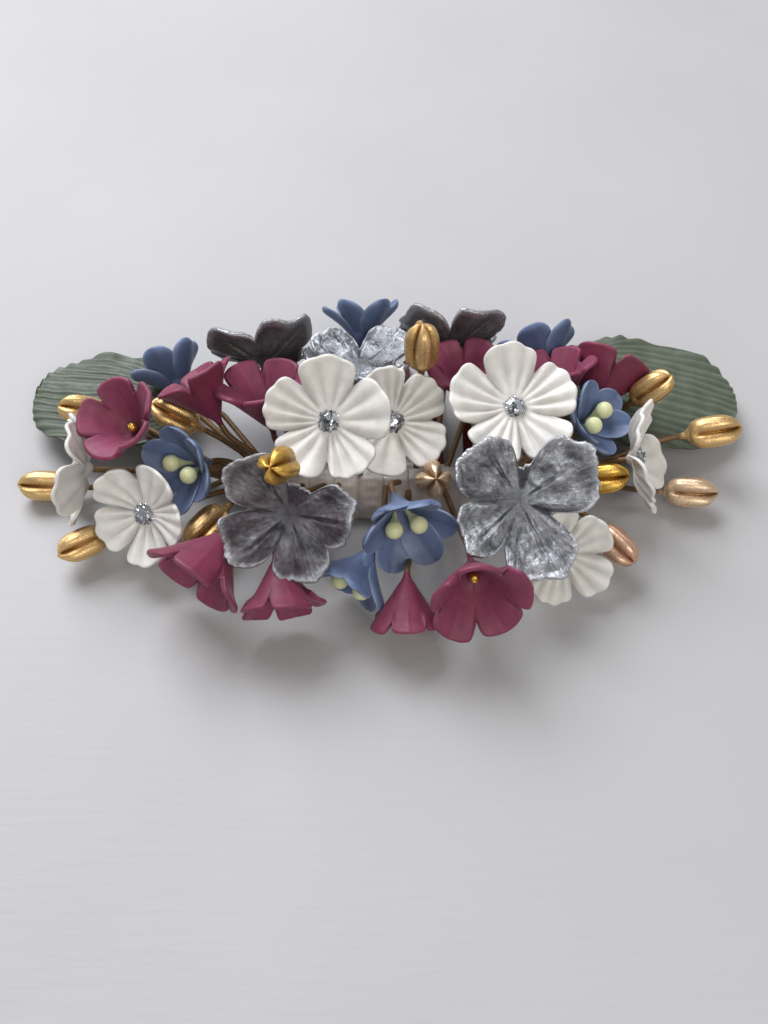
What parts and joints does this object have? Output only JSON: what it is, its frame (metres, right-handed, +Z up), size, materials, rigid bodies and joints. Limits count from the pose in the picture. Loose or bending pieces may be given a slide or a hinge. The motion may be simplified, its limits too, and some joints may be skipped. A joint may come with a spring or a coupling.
{
  "type": "decorative hair comb",
  "caption": "Side comb with a wired spray of moulded clay flowers, gilded buds and two veined leaves bound along its spine.",
  "frame": {"origin": "middle of the floor area that the whole ornament covers, on the surface that the comb lies on", "axes": "+X along the spray to the viewer's right, -Y towards the showing side with the teeth pointing to +Y, +Z up out of the surface"},
  "size_m": [0.144, 0.0807, 0.0356],
  "materials": {
    "white_clay": "matt air-dried polymer clay, warm white",
    "silver_leaf": "brushed silver leaf over moulded clay, worn in places",
    "burgundy_clay": "matt polymer clay, burgundy",
    "blue_clay": "matt polymer clay, dusty blue",
    "gold_paint": "pearl gold paint over moulded clay",
    "green_clay": "matt veined polymer clay, grey green",
    "taped_wire": "wire wound with bronze floral tape",
    "stem_tape": "bundle of wires wound with brown floral tape",
    "satin_ribbon": "narrow woven satin ribbon, pale grey beige",
    "comb_plastic": "glossy cellulose acetate, dark red brown",
    "crystal": "silver-coated crushed glass chips",
    "gilt_bead": "polished gilt bead",
    "pip_stamen": "pale yellow lacquered pip stamens"
  },
  "bodies": {
    "root": {"bell_beads": "gilt_bead", "blue_flower_1": "blue_clay", "blue_flower_2": "blue_clay", "blue_flower_3": "blue_clay", "blue_flower_4": "blue_clay", "blue_flower_5": "blue_clay", "blue_flower_6": "blue_clay", "blue_flower_7": "blue_clay", "blue_flower_wires": "taped_wire", "blue_stamens": "pip_stamen", "burgundy_bell_1": "burgundy_clay", "burgundy_bell_10": "burgundy_clay", "burgundy_bell_2": "burgundy_clay", "burgundy_bell_3": "burgundy_clay", "burgundy_bell_4": "burgundy_clay", "burgundy_bell_5": "burgundy_clay", "burgundy_bell_6": "burgundy_clay", "burgundy_bell_7": "burgundy_clay", "burgundy_bell_8": "burgundy_clay", "burgundy_bell_9": "burgundy_clay", "burgundy_bell_wires": "taped_wire", "comb": "comb_plastic", "crystal_centres": "crystal", "gold_bud_1": "gold_paint", "gold_bud_10": "gold_paint", "gold_bud_11": "gold_paint", "gold_bud_12": "gold_paint", "gold_bud_13": "gold_paint", "gold_bud_2": "gold_paint", "gold_bud_3": "gold_paint", "gold_bud_4": "gold_paint", "gold_bud_5": "gold_paint", "gold_bud_6": "gold_paint", "gold_bud_7": "gold_paint", "gold_bud_8": "gold_paint", "gold_bud_9": "gold_paint", "gold_bud_wires": "taped_wire", "leaf_left": "green_clay", "leaf_right": "green_clay", "leaf_wires": "taped_wire", "main_stem": "stem_tape", "ribbon_wrap": "satin_ribbon", "silver_flower_1": "silver_leaf", "silver_flower_2": "silver_leaf", "silver_flower_3": "silver_leaf", "silver_flower_4": "silver_leaf", "silver_flower_5": "silver_leaf", "silver_flower_wires": "taped_wire", "white_flower_1": "white_clay", "white_flower_2": "white_clay", "white_flower_3": "white_clay", "white_flower_4": "white_clay", "white_flower_5": "white_clay", "white_flower_6": "white_clay", "white_flower_7": "white_clay", "white_flower_wires": "taped_wire"}
  },
  "joints": []
}
